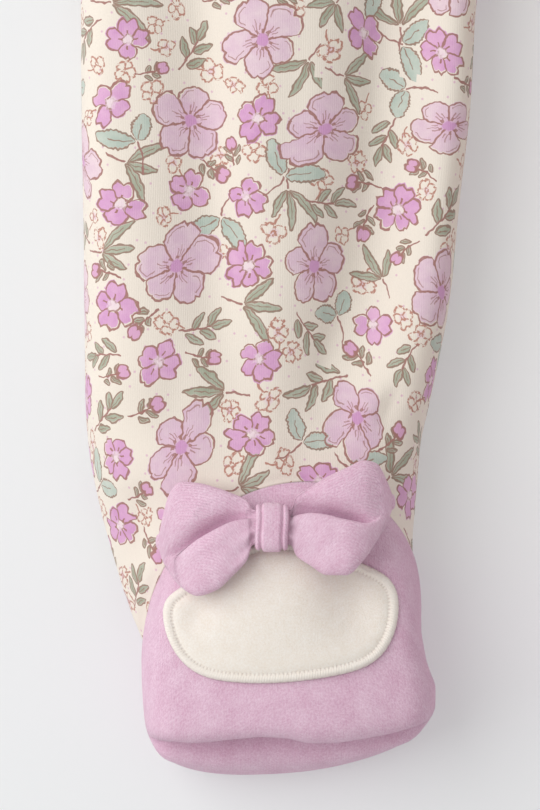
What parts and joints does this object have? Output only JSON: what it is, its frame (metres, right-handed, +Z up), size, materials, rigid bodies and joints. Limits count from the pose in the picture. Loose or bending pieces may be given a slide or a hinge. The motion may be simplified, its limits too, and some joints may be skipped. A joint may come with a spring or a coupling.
{
  "type": "footed baby sleepsuit",
  "caption": "Footed baby sleepsuit laid flat, with long sleeves, a press-stud front, softly filled legs and slipper-like feet with bows.",
  "frame": {"origin": "centre of the footprint on the surface that the garment lies on", "axes": "+X towards the wearer's left, +Y towards the head, +Z up out of the front; the back lies on z = 0"},
  "size_m": [0.492, 0.6005, 0.0552],
  "materials": {
    "printed_jersey": "brushed cotton, cream with a flower print",
    "slipper_fleece": "brushed pink fleece",
    "instep_felt": "soft cream felt",
    "bow_fleece": "brushed pink fleece",
    "rib_knit": "pink rib",
    "stud_plastic": "satin pink plastic"
  },
  "bodies": {
    "root": {"front_right": "printed_jersey", "front_left": "printed_jersey", "back_right": "printed_jersey", "back_left": "printed_jersey", "sleeve_right": "printed_jersey", "sleeve_left": "printed_jersey", "cuff_right": "rib_knit", "cuff_left": "rib_knit", "neckband": "rib_knit", "placket": "printed_jersey", "stud_1": "stud_plastic", "stud_2": "stud_plastic", "stud_3": "stud_plastic", "stud_4": "stud_plastic", "stud_5": "stud_plastic", "stud_6": "stud_plastic", "stud_7": "stud_plastic", "stud_8": "stud_plastic", "stud_9": "stud_plastic", "slipper_right": "slipper_fleece", "slipper_left": "slipper_fleece", "sole_right": "slipper_fleece", "sole_left": "slipper_fleece", "instep_right": "instep_felt", "instep_left": "instep_felt", "bow_loops_right": "bow_fleece", "bow_loops_left": "bow_fleece", "bow_knot_right": "bow_fleece", "bow_knot_left": "bow_fleece"}
  },
  "joints": []
}
